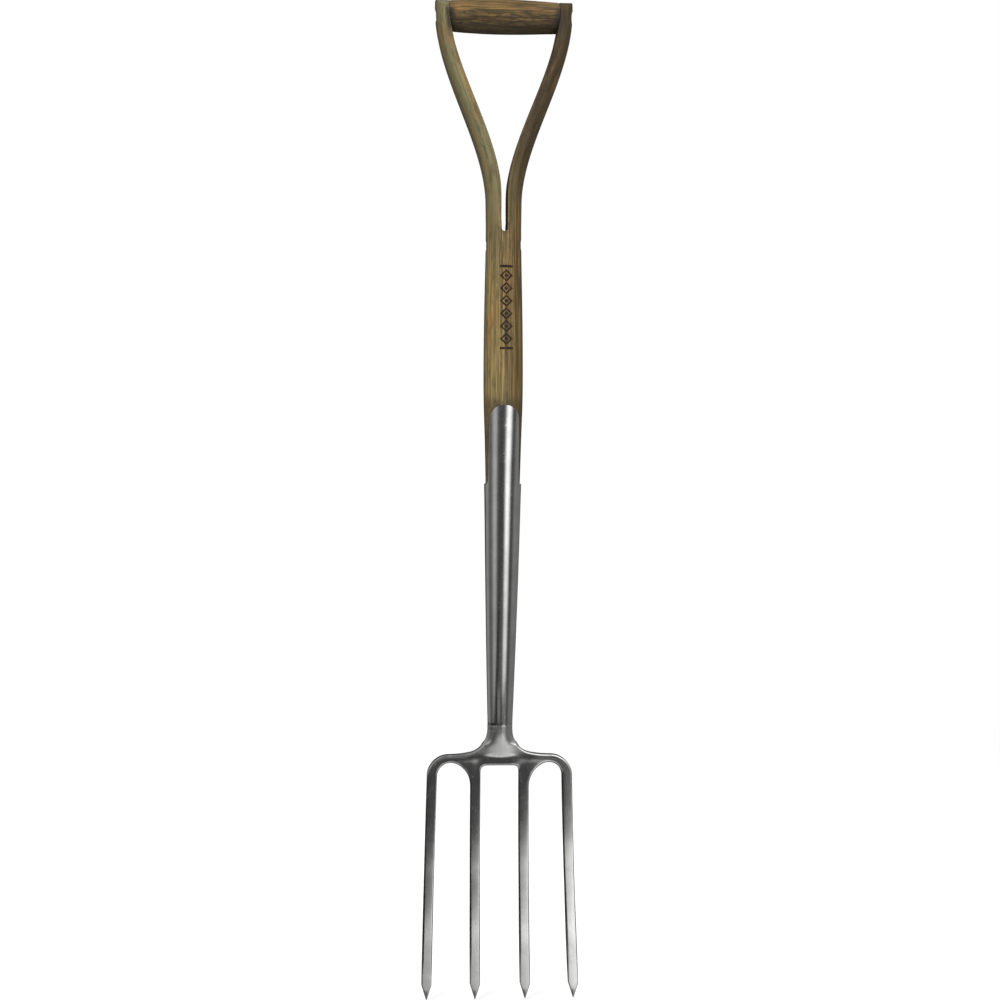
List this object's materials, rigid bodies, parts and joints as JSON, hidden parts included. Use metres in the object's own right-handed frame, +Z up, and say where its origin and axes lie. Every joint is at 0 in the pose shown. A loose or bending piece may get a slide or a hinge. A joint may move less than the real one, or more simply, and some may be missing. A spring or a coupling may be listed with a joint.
{
  "type": "digging fork",
  "caption": "Digging fork with a split wooden hand grip, a round ash shaft, a strapped tube socket and a forged head of slim square tines.",
  "frame": {"origin": "level with the tine points, under the middle of the fork's width and depth", "axes": "+Z up the straight handle towards the grip, +X across the tines, -Y towards the hollow front of the tines"},
  "size_m": [0.1574, 0.0641, 0.9986],
  "materials": {
    "ash": "oiled ash, straight lengthwise grain, lightly weathered",
    "grip_ash": "turned ash, grain along the grip, darkened by use",
    "rivet_steel": "dull rivet steel",
    "polished_steel": "polished stainless, fine lengthwise lines",
    "strap_rivet_steel": "ground flush and polished",
    "weld_steel": "weld dressed smooth",
    "forged_steel": "polished stainless forging"
  },
  "bodies": {
    "root": {"ash_handle": "ash", "grip": "grip_ash", "grip_rivet": "rivet_steel", "grip_rivet_washers": "rivet_steel", "throat_rivet": "rivet_steel", "throat_rivet_washers": "rivet_steel", "socket": "polished_steel", "upper_strap_rivet": "strap_rivet_steel", "lower_strap_rivet": "strap_rivet_steel", "neck_weld": "weld_steel", "head": "forged_steel"}
  },
  "joints": []
}
